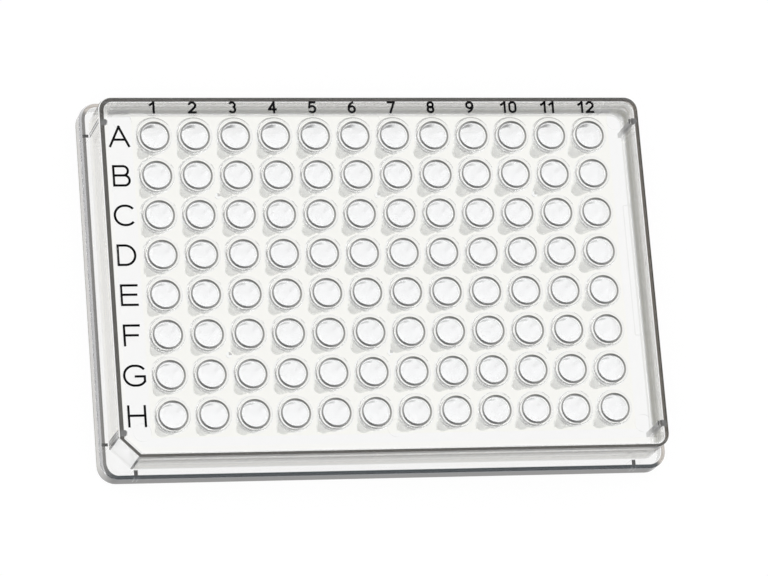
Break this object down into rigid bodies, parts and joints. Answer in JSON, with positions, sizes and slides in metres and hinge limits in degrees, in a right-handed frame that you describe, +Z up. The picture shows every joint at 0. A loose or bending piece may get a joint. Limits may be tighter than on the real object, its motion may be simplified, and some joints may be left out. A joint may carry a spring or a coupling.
{
  "type": "well plate",
  "caption": "Fully skirted clear moulded well plate with raised well collars, tapered round-tipped wells, a cut corner and a printed letter and number grid.",
  "frame": {"origin": "middle of the footprint, on the surface that the plate stands on", "axes": "+X towards column 12 along the rows, +Y towards row A, +Z up out of the wells"},
  "size_m": [0.1278, 0.0854, 0.0156],
  "materials": {
    "clear_plastic": "clear, polished, slightly frosted inside the wells",
    "black_ink": "printed ink"
  },
  "bodies": {
    "root": {"plate": "clear_plastic", "row_letters": "black_ink", "column_numbers": "black_ink"}
  },
  "joints": []
}
